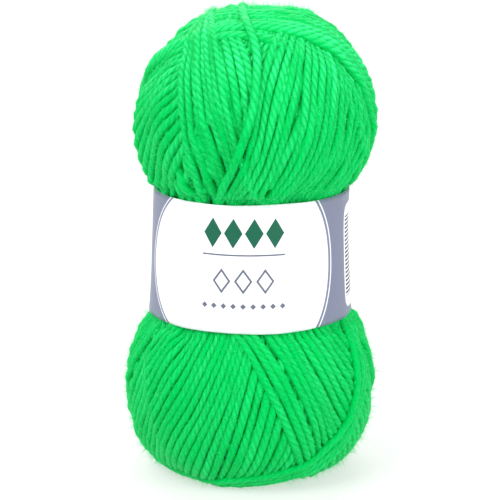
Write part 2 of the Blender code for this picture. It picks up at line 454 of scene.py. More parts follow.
# %% The plan
PLAN = (
    # rope, end, the half that shows, key wraps: phase, clearance at the end, belly and band,
    # and the other half's clearances at belly and band where they differ; then how loosely the
    # rope is laid, where its strands are fatter and further apart than usual
    ("crown_core", upper, 1, ((0, 6, 7, 11), (360, 6, 7, 11))),
    ("core", upper, 1, ((0, 12.5, 10, 11), (360, 12.5, 10, 11))),
    ("back_left", upper, 1, ((250, 12.5, 9, 11), (304, 12.5, 7, 10))),
    ("crown_cap", upper, 1, ((255, 2, 12, 11), (262, 5, 12, 11), (268, 9, 12, 11)), 1.4),
    ("left_side", upper, 1, (
        (108, 12.5, 20, 12), (144, 12.5, 20, 12), (165, 12.5, 21.5, 12), (181, 12.5, 21, 12),
    ), 1.2),
    ("front_inner", upper, -1, (
        (6, 12.5, 8.7, 12.8), (19.2, 12.5, 4.8, 11), (30.7, 12.5, 1.9, 11),
    ), 1.1),
    ("crown_front", upper, -1, ((74, 18, 14, 11, 20, 12), (80, 17.2, 14, 11, 20, 12)), 1.4),
    ("right_front", upper, 1, (
        (179, 12.5, 5, 15.5), (198.6, 12.5, 8, 15), (205.6, 12.5, 8.8, 9.5),
        (212.2, 12.5, 4.7, 14), (224, 12.5, 4.7, 14),
    )),
    ("middle", upper, 1, (
        (149, 12.5, 2.6, 17), (160.8, 12.5, 5.4, 15.4), (171.4, 12.5, 7.4, 13.9), (175, 12.5, 7, 12.5),
    )),
    ("over_crown", upper, -1, (
        (88, 14.5, 12.4, 11, 20, 12), (88.5, 13.5, 17.4, 11, 20, 12), (86, 11, 20, 11, 17, 12),
        (76, 8, 20, 11, 14, 12), (64, 5.5, 20, 11, 11, 12), (50, 4, 19, 11, 9, 12),
    ), 1.55),
    ("left_front", upper, -1, ((-33, 12.5, 12.7, 0.5), (-21.5, 12.5, 11.9, 7.5)), 1.1),
    ("left_front_inner", upper, -1, (
        (-18, 12.5, 11.8, 7.5), (-12.1, 12.5, 12.1, 4), (2.5, 12.5, 9.1, 12.5),
    )),
    ("heel_core", lower, 1, ((0, 7, 8, 11), (360, 7, 8, 11))),
    ("core", lower, 1, ((0, 14, 13, 13), (360, 14, 13, 13))),
    ("left", lower, -1, ((-104, 14, 8, 6), (-60, 14, 9, 8))),
    ("back", lower, 1, ((200, 13, 12, 12), (250, 13, 12, 12))),
    ("right_side", lower, 1, ((280, 16, 9, 11.7), (304, 14, 8.7, 11.7))),
    ("front", lower, 1, (
        (100, 13, 19, 10), (120.5, 13, 19.3, 7), (128.2, 13, 20, 3.2), (141.9, 13, 19.1, 3.2),
        (168, 13, 15.5, 2.3), (195, 13, 9.3, 5.9), (215, 13, 8, 7), (240, 13, 8, 8),
    )),
    ("right_front_a", lower, -1, (
        (5, 13, 13, 16), (11.3, 13, 12.8, 15.7), (17.7, 13, 12.1, 12.3), (44, 13, 19, 7),
    )),
    ("right_front_b", lower, -1, (
        (51, 13, 20, 6.5), (56.4, 13, 20, 7.3), (75, 13, 20, 9), (86, 13, 20, 9),
    )),
)
print("ropes in the plan:", len(PLAN))

# %% [markdown]
# ## Spacing the wraps of a rope
#
# The wraps of a rope are spaced by the widest distance between its key wraps. Towards the crown
# the key wraps run together, so the strands there are squeezed and every other one ends up on
# top of its neighbours, as on the real ball.

# %% Space the wraps
NARROWEST = 0.84  # a strand squeezed below this share of its width climbs on its neighbours
FIRST_ARC_SEEN = 14.0  # wraps are spaced from this far from the pole outwards
ARC_STEP = 4.0  # and measured this often
STEEPEST = 0.95  # largest sine of the slant that the spacing reckons with


def sideways_steps(end, half, keys):
    """Widest distance between each pair of neighbouring key wraps on the half that shows."""
    arcs = np.arange(FIRST_ARC_SEEN, end.band_arc, ARC_STEP)
    radius, _ = end.ring(arcs)
    rows = []
    for key in keys:
        azimuth, arc = key_wrap(end, half, key)
        middle = len(arc) // 2
        part = slice(middle, 0, -1) if half > 0 else slice(middle, None)
        rows.append(np.interp(arcs, arc[part], azimuth[part]))
    clear = np.mean([key[2] for key in keys])
    slant = np.sqrt(1 - np.minimum(clear / radius, STEEPEST) ** 2)
    return (np.abs(np.diff(np.radians(rows), axis=0)) * radius * slant).max(axis=1)


def room_beside(end, half, keys, reach, place):
    """Share of a strand's width that its neighbours leave it, along the wrap at one place."""
    places = np.clip((place - 0.5, place + 0.5), 0, reach[-1])
    if places[1] <= places[0]:
        return np.ones_like(key_wrap(end, half, keys[0])[0])
    before, after = (
        key_wrap(end, half, [np.interp(p, reach, column) for column in zip(*keys)]) for p in places
    )
    radius, _ = end.ring(before[1])
    round_share, out_share = directions(end, *before)
    apart = np.radians(after[0] - before[0]) * radius * out_share
    apart -= (after[1] - before[1]) * round_share
    return np.clip(np.abs(apart) / (places[1] - places[0]), NARROWEST, 1.0)


print("the front rope's steps in mm:", np.round(sideways_steps(*PLAN[-3][1:4]), 1))

# %% [markdown]
# ## Winding the ropes
#
# Every wrap takes its own small error in phase and clearance, as a machine's do, and the wraps
# of one rope also sway together. Every other wrap is laid first and the rest over them, so that
# where a rope narrows at the crown half of its strands still lie free on top.

# %% Wind the ropes
SIDE_BY_SIDE = 2.35  # distance between neighbouring strands
GAP, WIDER_GAP = 0.98, 1.1  # shares of that distance
WIDER_OFTEN = 0.15  # share of the gaps that are the wider ones
ERRORS = (0.1, 0.03, 0.05, 0.07)  # spread of a wrap's phase and three clearances
SWAY = 0.18  # how far a whole rope strays sideways
SWAY_REACH = 22.0  # and over what length
MOST_SAMPLES = 1600  # no path has more samples than this
LEAST_CLEARANCE = 0.3
LOOSE_SWELL = 0.6  # a loose strand swells by this power of its wider spacing


def wind(rope, end, half, keys, loose=1.0):
    """Lay the wraps of one rope side by side, with a wider gap here and there."""
    closed = keys[-1][0] - keys[0][0] == 360
    steps = sideways_steps(end, half, keys)
    reach = np.concatenate([[0.0], np.cumsum(steps)])
    count = round(reach[-1] / (SIDE_BY_SIDE * loose)) + (0 if closed else 1)
    gaps = np.where(dice.random(count) < WIDER_OFTEN, WIDER_GAP, GAP)
    places = np.cumsum(gaps) - gaps[0]
    places *= reach[-1] / max(gaps.sum() if closed else places[-1], 1e-6)
    common = [wandering(MOST_SAMPLES, PATH_STEP, SWAY_REACH) for _ in range(2)]
    for turn in (*range(1, count, 2), *range(0, count, 2)):
        place = places[turn]
        key = np.array([np.interp(place, reach, column) for column in zip(*keys)])
        key[:4] += dice.normal(0, ERRORS)
        share = place / max(reach[-1], 1e-6)
        shared = SWAY * (common[0] * (1 - share) + common[1] * share)
        path = key_wrap(end, half, [key[0], *np.maximum(key[1:], LEAST_CLEARANCE)])
        room = room_beside(end, half, keys, reach, place)
        lay(end, *path, room, rope, shared, 0.0, loose**LOOSE_SWELL)
    return count


for row in PLAN:
    print(row[0], row[1].name, "end:", wind(*row), "wraps")

# %% [markdown]
# ## One rope that climbs
#
# The rope in the middle of the upper end starts under the others at the crown and comes out on
# top of them near the band, because yarn was laid in turns on both. It is lifted afterwards,
# which is simpler than splitting every rope in two.

# %% Lift the middle rope near the band
CLIMB_FROM = 40.0  # it starts to climb this far from the pole
CLIMB_RISE = 8.0  # and is on top this much further out
CLEARLY_OVER = 0.3  # another rope lies over it where the map is this much higher
CLIMB_EVENED = 9  # samples


def climb_over(rope):
    """Lift a rope over the ropes laid after it, away from the pole."""
    for strand in strands:
        if strand["rope"] != rope:
            continue
        end = strand["end"]
        cells = end.cell(strand["azimuth"], strand["arc"])
        own_top = strand["height"] + strand["added"]
        covered = end.map[cells] > own_top + CLEARLY_OVER
        below = np.where(covered, end.map[cells], strand["height"])
        over = np.maximum(averaged(below, CLIMB_EVENED), strand["height"])
        share = smooth_step((strand["arc"] - CLIMB_FROM) / CLIMB_RISE)
        strand["height"] = strand["height"] + share * (over - strand["height"])
        np.maximum.at(end.map, cells, strand["height"] + strand["added"])


climb_over("middle")
print("highest pile in mm:", round(upper.map.max(), 1))

# %% [markdown]
# ## The strands laid last
#
# A few strands belong to no rope. Three of them run side by side low on the right and on under
# the ball, and a single one climbs the front and crosses the crown. They are laid through a
# list of places, because they follow no regular wrap.

# %% Lay the strands that cross the ropes
STATION_GAP = 2.0  # distance between points on their curves
STATIONS = (
    # strand, end, sideways places of its yarns, how proud they lie, then the azimuth and the
    # distance from the pole at places along it
    ("bundle", lower, (-2.2, 0.0, 2.2), 0.3, (
        (76, 75.0), (71, 67.7), (66, 62.3), (64, 56.1), (62, 50.9), (59, 46.6), (55, 42.2),
        (49, 38.2), (42, 34.3), (35, 31.2), (24, 28.6), (6, 25.8), (-14, 23.4), (-35, 21.6),
        (-57, 21.2), (-80, 22.5), (-100, 26.0), (-115, 32.0), (-126, 41.0), (-134, 52.0),
        (-140, 62.5), (-143, 74.0),
    )),
    ("single", upper, (0.0,), 0.8, (
        (-20, 74.0), (-17.5, 68.0), (-14.9, 63.3), (-11.4, 59.3), (-7.6, 53.7), (-3.8, 47.2),
        (-1.5, 40.8), (-0.8, 34.2), (-1.2, 27.1), (-5, 20.3), (-14, 14.2), (-27, 9.6),
        (-56, 5.6), (-92, 4.6), (-127, 5.8), (-152, 9.8), (-166, 15.5), (-178, 24.0),
        (-184, 34.0), (-189, 45.0), (-196, 58.0), (-203, 74.0),
    )),
)


def lay_across(name, end, offsets, proud, stations):
    """Lay one strand, or a few side by side, through the given places."""
    curve = through(stations, STATION_GAP)
    for offset in offsets:
        room = np.ones(len(curve))
        lay(end, curve[:, 0], curve[:, 1], room, name, np.full(MOST_SAMPLES, offset), proud)


for row in STATIONS:
    lay_across(*row)
print("strands laid:", len(strands))

# %% [markdown]
# ## From map to finished height
#
# Where many strands cross, the pile grows. The ball's outline is known, so the slow part of the
# pile is taken away and only the local ups and downs between strands and ropes are kept.

# %% Level the pile
LEVEL_ROUND = 5.0  # spread of the smoothing round the ball
LEVEL_ARC = 3.5  # and along the outline
LEAST_RADIUS = 2.0  # nearer the pole the smoothing grows no wider


def levelled(end):
    """The height map smoothed widely: round the ball by Fourier, along the outline by weights."""
    rows = np.arange(end.map.shape[0]) * HEIGHT_CELL
    radius, _ = end.ring(rows)
    spread = np.degrees(LEVEL_ROUND / np.maximum(radius, LEAST_RADIUS))
    waves = np.fft.rfftfreq(end.map.shape[1], d=AZIMUTH_CELL)
    damp = np.exp(-2 * (np.pi * waves[None, :] * spread[:, None]) ** 2)
    soft = np.fft.irfft(np.fft.rfft(end.map, axis=1) * damp, n=end.map.shape[1], axis=1)
    weights = np.exp(-0.5 * ((rows[:, None] - rows[None, :]) / LEVEL_ARC) ** 2)
    weights /= weights.sum(axis=1, keepdims=True)
    return weights @ soft


for end in (upper, lower):
    end.level = levelled(end)
    print(end.name, "pile in mm:", np.round(end.map.mean(axis=1)[::20], 1))

# %% [markdown]
# ## How far each strand stands off
#
# The ups and downs are then put back on the ball's outline. They are calmer near the poles and
# under the band's edge, where the yarn is held down. The crown is pressed in a little, and the
# strands that cross the left shoulder draw it in.

# %% Lift off the outline
SUNK = {"upper": 1.35, "lower": 1.1}  # strand centres lie this far under the outline
ABOVE_LEVEL = 0.35  # a strand on top lies this far over the middle of the pile
CALM_ARC = 16.0  # the pile is flatter than this near the poles
CALM_SHARE = 0.6  # share of the ups and downs that stays there
LOWEST_DIP = -2.6  # deepest dip in the pile
HIGHEST_HELD = 0.9  # highest rise beside the band
HIGHER_FREE = 1.0  # and how much higher it may be away from it
HELD_ARC = 12.0  # the band holds the yarn down over this distance
CROWN_PRESSED = 0.6  # the crown is pressed in this much
CROWN_ARC = 12.0  # out to here, and less and less over as much again
SHOULDER_DRAWN_IN = 0.9  # the left shoulder is drawn in this much
SHOULDER_START = (15.0, 14.0)  # from this far from the pole, growing over this distance
SHOULDER_END = (46.0, 8.0)  # up to this far from the pole, fading over this distance
SHOULDER_SIDE = (75.0, 45.0)  # within this many degrees of the left, fading over so many


def lifted(end, relief, azimuth, arc):
    """Lift off the outline for a relief over the level pile, calmer at the pole and the band."""
    relief = relief * (CALM_SHARE + (1 - CALM_SHARE) * smooth_step((arc - CALM_ARC) / CALM_ARC))
    most = HIGHEST_HELD + HIGHER_FREE * smooth_step((end.band_arc - arc) / HELD_ARC)
    lift = np.clip(relief, LOWEST_DIP, most) - SUNK[end.name]
    if end is upper:
        lift = lift - CROWN_PRESSED * (1 - smooth_step((arc - CROWN_ARC) / CROWN_ARC))
        shoulder = smooth_step((arc - SHOULDER_START[0]) / SHOULDER_START[1])
        shoulder = shoulder * smooth_step((SHOULDER_END[0] - arc) / SHOULDER_END[1])
        from_left = np.abs((azimuth + 270.0) % 360.0 - 180.0)
        beside = smooth_step((SHOULDER_SIDE[0] - from_left) / SHOULDER_SIDE[1])
        lift = lift - SHOULDER_DRAWN_IN * shoulder * beside
    return lift


print("lift on the left shoulder:", np.round(lifted(upper, 0.0, -90.0, 34.0), 2), "mm")

# %% [markdown]
# ## Which stretches show
#
# Only the stretches that show are built, since the layers under them would cost triangles and
# never be seen. A few places on and beside the strand are tested, and it is left out only where
# the pile lies well above its top at every one of them.

# %% Find the stretches that show
BURIED = 0.75  # a strand this far under the pile is left out
LOOK_BESIDE = (-1.2, -0.6, 0.0, 0.6, 1.2)  # tested places, measured round the ball
GROWN = 5  # samples added to each end of a stretch, so that it dives under its neighbours
SHORTEST = 14  # samples in the shortest stretch that is built


def showing(strand):
    """True at each sample of a strand that can be seen from outside."""
    end = strand["end"]
    top = strand["height"] + strand["added"]
    radius, _ = end.ring(strand["arc"])
    lowest = np.full(len(top), np.inf)
    for off in LOOK_BESIDE:
        cells = end.cell(strand["azimuth"] + np.degrees(off / radius), strand["arc"])
        lowest = np.minimum(lowest, end.map[cells])
    return top > lowest - BURIED


def runs(flags):
    """First and last sample of each long enough stretch of True, grown at both ends."""
    steady = np.convolve(flags, np.ones(3), mode="same") > 2.5  # all three are True
    wide = np.convolve(steady, np.ones(2 * GROWN + 1), mode="same") > 0.5  # any is True
    edges = np.flatnonzero(np.diff(np.concatenate([[0], wide, [0]])))
    return [(a, b) for a, b in zip(edges[::2], edges[1::2]) if b - a >= SHORTEST]


print("stretches that show:", sum(len(runs(showing(strand))) for strand in strands))

# %% [markdown]
# ## The yarn itself
#
# Four plies are twisted together, so the strand's section has four lobes that turn as the
# section moves along. Each ply gets two corners on its crest and one in the groove beside it,
# and the corners follow the twist, so each line of corners is one ply's own helix.

# %% Rings of the four-ply yarn
PLIES = 4
CORNERS = 3 * PLIES
LAY_LENGTH = 10.0  # one full turn of the plies
RINGS_PER_TURN = 9
RING_STEP = LAY_LENGTH / RINGS_PER_TURN
SPREAD = 1.08  # soft strands lie a little wide
PRESSED = 0.93  # and a little flat
FLOOR_CLEAR = 1.2  # lowest height of a strand's centre
PROUD_FADE = 10.0  # a proud strand is held down over this distance beside the band
# Besides the depth of the grooves, this sets how strong the painted highlight on the ply crests is; it
# is stronger at the upper end, where the light falls from above.
PLY_RELIEF_AND_HIGHLIGHT = {  # how clearly the plies show near the pole and near the band
    "upper": (1.0, 0.4),
    "lower": (0.42, 0.34),
}
PLIES_FROM = 32.0  # the change between the two starts this far from the pole
PLIES_OVER = 16.0  # and takes this distance


def centre_line(strand, first, last):
    """Rings of one visible stretch: centres, outward directions, distance, width, and ply depth with the
    strength of the painted crest highlight.
    """
    end = strand["end"]
    along = strand["along"][first:last]
    even = np.arange(along[0], along[-1], RING_STEP)
    azimuth = np.interp(even, along, strand["azimuth"][first:last])
    arc = np.interp(even, along, strand["arc"][first:last])
    middle = strand["height"] + 0.5 * strand["added"]
    cells = end.cell(azimuth, arc)
    relief = np.interp(even, along, middle[first:last]) - end.level[cells] + ABOVE_LEVEL
    proud = strand["proud"] * smooth_step((end.band_arc - arc) / PROUD_FADE)
    points = end.place(azimuth, arc, lifted(end, relief, azimuth, arc) + proud)
    points[:, 2] = np.maximum(points[:, 2], FLOOR_CLEAR)
    wide = SPREAD * np.interp(even, along, strand["room"][first:last])
    at_pole, at_band = PLY_RELIEF_AND_HIGHLIGHT[end.name]
    plies = at_pole + (at_band - at_pole) * smooth_step((arc - PLIES_FROM) / PLIES_OVER)
    return points, end.outward(azimuth, arc), even, wide, plies


def strand_rings(points, outward, wide, section, angle):
    """Corner points of the twisted section, one row for each ring."""
    ahead = np.gradient(points, axis=0)
    ahead /= np.linalg.norm(ahead, axis=1)[:, None]
    up = outward - (outward * ahead).sum(axis=1)[:, None] * ahead
    up /= np.linalg.norm(up, axis=1)[:, None]
    beside = np.cross(up, ahead)
    sides = (section * np.cos(angle) * wide[:, None])[:, :, None]
    tops = (section * np.sin(angle) * PRESSED)[:, :, None]
    return points[:, None, :] + sides * beside[:, None, :] + tops * up[:, None, :]


print("one turn of the plies:", RINGS_PER_TURN, "rings of", CORNERS, "corners")

# %% [markdown]
# ## Meshes from points
#
# Every piece here is worked out as points and faces, and Blender turns those lists into a mesh.
# A strand, the skin and the paper are all grids of points, so one helper joins the rows. A
# value that is kept on each point travels with the mesh, and its material can read it.

# %% Helpers for meshes
def grid_quads(rows, columns, closed=True):
    """Quads between neighbouring rows of points; a closed grid joins its last column to its first."""
    last = columns if closed else columns - 1
    row, column = np.meshgrid(np.arange(rows - 1), np.arange(last), indexing="ij")
    here = row * columns + column
    beside = row * columns + (column + 1) % columns
    return np.stack([here, beside, beside + columns, here + columns], axis=-1).reshape(-1, 4)


def new_piece(name, points, faces, material):
    """A smooth mesh object in the scene, from points in millimetres."""
    mesh = bpy.data.meshes.new(name)
    mesh.from_pydata(points * MM, [], faces)
    mesh.shade_smooth()
    mesh.materials.append(material)
    piece = bpy.data.objects.new(name, mesh)
    bpy.context.scene.collection.objects.link(piece)
    return piece


def keep_on_points(piece, name, kind, field, values):
    """Give each point of a piece a value or a vector that its material can read."""
    kept = piece.data.attributes.new(name, kind, "POINT")
    kept.data.foreach_set(field, values.astype(np.float32).ravel())


print("quads in one turn of a strand:", len(grid_quads(RINGS_PER_TURN + 1, CORNERS)))

# %% [markdown]
# ## Many strands in one mesh
#
# Hundreds of strands as hundreds of objects would be slow to handle, so they share a few
# meshes. Besides its points, each strand keeps three values for its material: the place on its
# own straightened surface, its tone and the strength of the painted highlight on each crest.

# %% Collect strands
class Piece:
    """Collects strands for one mesh."""

    def __init__(self, name):
        self.name = name
        self.points = []
        self.fibre = []
        self.tone = []
        self.crest_highlight = []
        self.faces = []
        self.count = 0
        self.triangles = 0

    def add(self, rings, section, along, tone, crest_highlight):
        shape = rings.shape[:2]
        quads = self.count + grid_quads(*shape)
        first = tuple(self.count + c for c in reversed(range(CORNERS)))
        last = tuple(self.count + (len(rings) - 1) * CORNERS + c for c in range(CORNERS))
        self.faces.extend(quads.tolist())
        self.faces.extend([first, last])
        turn = np.broadcast_to(section_angle, shape)
        along = np.broadcast_to(along[:, None], shape)
        fibre = np.stack([section * np.cos(turn), section * np.sin(turn), along], axis=-1)
        self.fibre.append(fibre.reshape(-1, 3))
        self.points.append(rings.reshape(-1, 3))
        self.tone.append(np.full(rings.shape[0] * CORNERS, tone))
        self.crest_highlight.append(crest_highlight.ravel())
        self.count += rings.shape[0] * CORNERS
        self.triangles += 2 * len(quads) + 2 * (CORNERS - 2)

    def build(self, material):
        piece = new_piece(self.name, np.vstack(self.points), self.faces, material)
        keep_on_points(piece, "fibre", "FLOAT_VECTOR", "vector", np.vstack(self.fibre))
        keep_on_points(piece, "tone", "FLOAT", "value", np.concatenate(self.tone))
        # strength of the painted highlight on the ply crests
        keep_on_points(piece, "crest_highlight", "FLOAT", "value", np.concatenate(self.crest_highlight))
        return piece


section_angle = np.arange(CORNERS) * 2 * np.pi / CORNERS
print("corners of a section in degrees:", np.degrees(section_angle).astype(int))

# %% [markdown]
# ## Colours and nodes
#
# Hex values are sRGB, and shaders want linear light, so one function turns them. A second
# small function adds a node with its settings and links. Every material here ends in one
# Principled shader, which takes plain settings first and patterns where they are needed.

# %% Helpers for materials
def linear(hex_colour):
    """Linear red, green, blue and alpha from an sRGB hex value."""
    channels = [int(hex_colour[i : i + 2], 16) / 255 for i in (0, 2, 4)]
    light = [c / 12.92 if c <= 0.04045 else ((c + 0.055) / 1.055) ** 2.4 for c in channels]
    return (*light, 1.0)


def add(tree, kind, settings=(), links=()):
    """Add one node: settings name its properties or inputs, links name inputs and sockets."""
    node = tree.nodes.new(kind)
    for name, value in dict(settings).items():
        if isinstance(name, str) and hasattr(node, name):
            setattr(node, name, value)
        else:
            node.inputs[name].default_value = value
    for name, socket in dict(links).items():
        tree.links.new(socket, node.inputs[name])
    return node


def new_material(name, settings):
    """A material that ends in one Principled shader with these settings, and that shader."""
    material = bpy.data.materials.new(name)
    material.use_nodes = True
    tree = material.node_tree
    tree.nodes.clear()
    shader = add(tree, "ShaderNodeBsdfPrincipled", settings)
    add(tree, "ShaderNodeOutputMaterial", (), {"Surface": shader.outputs["BSDF"]})
    return material, shader


print("a middle grey in linear light:", round(linear("808080")[0], 3))

# %% [markdown]
# ## The yarn's finish
#
# Acrylic fibre takes dye deeply, so the yarn is a vivid green with a soft fuzzy sheen rather
# than a gloss. Fibres run along each ply, so the bump is a noise stretched along the fibre
# coordinate that every strand carries. Patches of raised fibre look paler, and the outward
# side of the plies' crests carries a painted highlight in a paler, whitish green.

# %% Yarn material
YARN_GREEN = "00BA50"
YARN_SHADE = "00AC48"
YARN_FLUFF = "00CA5A"
# painted highlight: the paler colour laid on the outward side of the ply crests
YARN_HIGHLIGHT = "44FFA0"
FLUFF_SIZE = 0.7  # patches of raised fibre along a strand
FIBRE_WIDTH = 0.12  # a real fibre is about 0.03 mm; drawn coarser so that it shows
FIBRE_LENGTH = 1.0  # the pattern changes this slowly along a strand


def acrylic_yarn():
    look = {
        "Roughness": 0.5,
        "IOR": 1.5,
        "Specular IOR Level": 0.12,
        "Specular Tint": linear("40FFA8"),
        "Sheen Weight": 0.4,
        "Sheen Roughness": 0.3,
        "Sheen Tint": linear("38FF94"),
    }
    material, shader = new_material("acrylic_four_ply_yarn", look)
    tree = material.node_tree
    fibre, tone, crest_highlight = (
        add(tree, "ShaderNodeAttribute", {"attribute_name": name}) for name in ("fibre", "tone", "crest_highlight")
    )
    place = fibre.outputs["Vector"]
    per_fibre = (1 / FIBRE_WIDTH, 1 / FIBRE_WIDTH, 1 / FIBRE_LENGTH)
    slim = add(tree, "ShaderNodeVectorMath", {"operation": "MULTIPLY", 1: per_fibre}, {0: place})
    fine = {"Scale": 0.5, "Detail": 2.0, "Roughness": 0.6}
    hair = add(tree, "ShaderNodeTexNoise", fine, {"Vector": slim.outputs[0]})
    coarse = {"Scale": 1.0 / FLUFF_SIZE, "Detail": 4.0, "Roughness": 0.65}
    fluff = add(tree, "ShaderNodeTexNoise", coarse, {"Vector": place})
    patches = {"From Min": 0.35, "From Max": 0.65}
    patchy = add(tree, "ShaderNodeMapRange", patches, {"Value": fluff.outputs[0]})
    dyes = {"data_type": "RGBA", "A": linear(YARN_SHADE), "B": linear(YARN_GREEN)}
    colour = add(tree, "ShaderNodeMix", dyes, {"Factor": tone.outputs["Fac"]}).outputs["Result"]
    # paler patches at random, then the painted highlight on the ply crests
    for paler, where in ((YARN_FLUFF, patchy.outputs[0]), (YARN_HIGHLIGHT, crest_highlight.outputs["Fac"])):
        over = {"data_type": "RGBA", "B": linear(paler)}
        colour = add(tree, "ShaderNodeMix", over, {"Factor": where, "A": colour}).outputs["Result"]
    relief = {"Strength": 0.8, "Distance": 0.00015}
    bump = add(tree, "ShaderNodeBump", relief, {"Height": hair.outputs[0]})
    tree.links.new(colour, shader.inputs["Base Color"])
    tree.links.new(bump.outputs["Normal"], shader.inputs["Normal"])
    return material


yarn_finish = acrylic_yarn()
print("yarn material with", len(yarn_finish.node_tree.nodes), "nodes")

# %% [markdown]
# ## Building the strands
#
# Many strands share one mesh, and a new mesh starts before one grows too big. Each strand gets
# its own start of the twist and its own tone. Only the outward side of a ply gets a painted
# highlight in a paler colour, and it is strong in some stretches and weak in others.

# %% Build the strands that show
MOST_TRIANGLES = 190000  # in one piece
FEWEST_RINGS = 4
GROOVE = 0.2  # deepest groove between two plies as a share of the radius
GROOVE_LEAST, GROOVE_MORE = 0.35, 0.25  # share of it that every strand has, and what clear plies add
PLY_TOP = 0.98  # radius on the crests as a share of the yarn's
# Painted highlight on the ply crests: how far it keeps to the outward side, how strong it is and how
# slowly its strength changes.
HIGHLIGHT_SIDE = 0.3  # how far the pale side is kept to the outward one
HIGHLIGHT, HIGHLIGHT_CHANGE, HIGHLIGHT_LEAST = 0.55, 0.28, 0.1  # usual paleness, its spread and its least
HIGHLIGHT_REACH = 8.0  # paleness changes over this length
PATTERN_SHIFT = 100  # each strand starts somewhere else within this length of the fibre pattern
on_crest = np.tile((1.0, 1.0, 0.0), PLIES)
highlight_on_corner = np.tile((1.0, 0.6, 0.0), PLIES)
spots = []  # places, outward and forward directions on the strands, for the fuzz


def build_strands():
    """Twisted strands for every visible stretch, shared out over a few meshes."""
    pieces = []
    current = None
    for strand in strands:
        for first, last in runs(showing(strand)):
            points, outward, along, wide, plies = centre_line(strand, first, last)
            if len(points) < FEWEST_RINGS:
                continue
            if current is None or current.triangles + 2 * CORNERS * len(points) > MOST_TRIANGLES:
                current = Piece(f"yarn_winding_{len(pieces) + 1}")
                pieces.append(current)
            start, tone = dice.random(2)
            groove = GROOVE * (GROOVE_LEAST + GROOVE_MORE * plies[:, None]) * (1 - on_crest[None, :])
            section = (PLY_TOP - groove) * YARN_DIAMETER / 2 * strand["size"]
            angle = section_angle[None, :] - (along[:, None] / LAY_LENGTH + start) * 2 * np.pi
            # painted highlight: paler colour on the outward side of each ply, scaled by the ply setting
            # and a slow random strength
            outside = np.clip((1 + HIGHLIGHT_SIDE) * np.sin(angle) - HIGHLIGHT_SIDE, 0, 1)
            crest_highlight = plies[:, None] * highlight_on_corner * outside
            shine = HIGHLIGHT + HIGHLIGHT_CHANGE * wandering(len(along), RING_STEP, HIGHLIGHT_REACH)
            crest_highlight *= np.clip(shine, HIGHLIGHT_LEAST, 1.0)[:, None]
            rings = strand_rings(points, outward, wide, section, angle)
            current.add(rings, section, along + start * PATTERN_SHIFT, tone, crest_highlight)
            spots.append(np.hstack([points, outward, np.gradient(points, axis=0)]))
    return pieces


winding = build_strands()
for piece in winding:
    built = piece.build(yarn_finish)
    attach(built, "root")
    if piece is winding[0]:
        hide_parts("yarn_ball")
print("strands:", len(strands), "pieces:", [(p.name, p.triangles) for p in winding])

# %% [markdown]
# ## The dark inside
#
# Between two strands the eye sees the next layer in deep shade. A plain skin follows the pile
# just under the strands' middles and closes every gap, so no light falls through the ball. Its
# colour is painted a little lighter than the strands', to lift the deep shade that lies on it.

# %% Skin under the strands
SKIN_DEPTH = 0.3  # under the middle of the strands on top
SKIN_COLUMNS = 150
SKIN_ROWS = 72
SKIN_ENDS = 0.5  # the skin's first and last rings lie this far inside the chart's ends


def skin_rings(end):
    """Rings of points just under the strands, from the pole to under the band."""
    soft = end.map.copy()
    for shift in ((1, 0), (-1, 0), (0, 1), (0, -1)):
        soft = np.minimum(soft, np.roll(end.map, shift, axis=(0, 1)))
    arcs = np.linspace(SKIN_ENDS, end.arc[-1] - SKIN_ENDS, SKIN_ROWS)
    azimuths = np.arange(SKIN_COLUMNS) * 360 / SKIN_COLUMNS
    azimuth, arc = np.meshgrid(azimuths, arcs)
    cells = end.cell(azimuth, arc)
    relief = soft[cells] - end.level[cells] + ABOVE_LEVEL - 0.5 * BEDDED
    lift = lifted(end, relief, azimuth, arc) - SKIN_DEPTH
    points = end.place(azimuth, arc, lift)
    points[..., 2] = np.maximum(points[..., 2], FLOOR_CLEAR - SKIN_DEPTH)
    return points


def make_skin(material):
    """Both ends' rings joined under the band and closed at the poles."""
    top = skin_rings(upper)
    foot = skin_rings(lower)[::-1]
    rings = np.concatenate([top, foot])
    points = np.vstack([rings.reshape(-1, 3), top[0].mean(axis=0), foot[-1].mean(axis=0)])
    quads = grid_quads(len(rings), SKIN_COLUMNS)[:, (0, 3, 2, 1)]
    faces = quads.tolist()
    last = (len(rings) - 1) * SKIN_COLUMNS
    for c in range(SKIN_COLUMNS):
        d = (c + 1) % SKIN_COLUMNS
        faces.append((len(points) - 2, c, d))
        faces.append((len(points) - 1, last + d, last + c))
    skin = new_piece("yarn_inside", points, faces, material)
    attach(skin, "root")
    return len(quads) * 2 + 2 * SKIN_COLUMNS


def shaded_yarn():
    """Yarn seen deep in a gap: all fibre and no gloss, painted lighter than the strands to lift its
    shade.
    """
    # painted light: a lighter green than the strands', standing in for light the gaps lack
    look = {"Base Color": linear("00D864"), "Roughness": 0.95, "Specular IOR Level": 0.1}
    return new_material("acrylic_yarn_in_shade", look)[0]


print("skin triangles:", make_skin(shaded_yarn()))

# %% [markdown]
# ## The fuzz
#
# Acrylic yarn is spun from short fibres, and their ends stand off the strands as a soft fuzz.
# Most are short enough to be straight spikes, and a few long ones bend over. Against the light
# they blur the outline, which is what makes the ball look soft.

# %% Fuzz and loose fibres
HAIRS = (
    # piece, how many, longest, radius at the root, places of the rings along a hair, lean
    ("yarn_fuzz", 48000, 3.6, 0.05, (0.0,), 0.6),
    ("loose_fibres", 3500, 5.0, 0.04, (0.0, 0.35, 0.7), 1.0),
)
HAIR_BEND = 0.6  # how strongly hairs bend over
HAIR_LENGTHS = (2.0, 3.0)  # shape of the beta spread: many middling hairs and few long ones
HAIR_ROOT = 0.38  # roots lie this share of the diameter off the strand's middle
HAIR_FLOOR = 0.1  # and a hair's middle line goes no lower than this


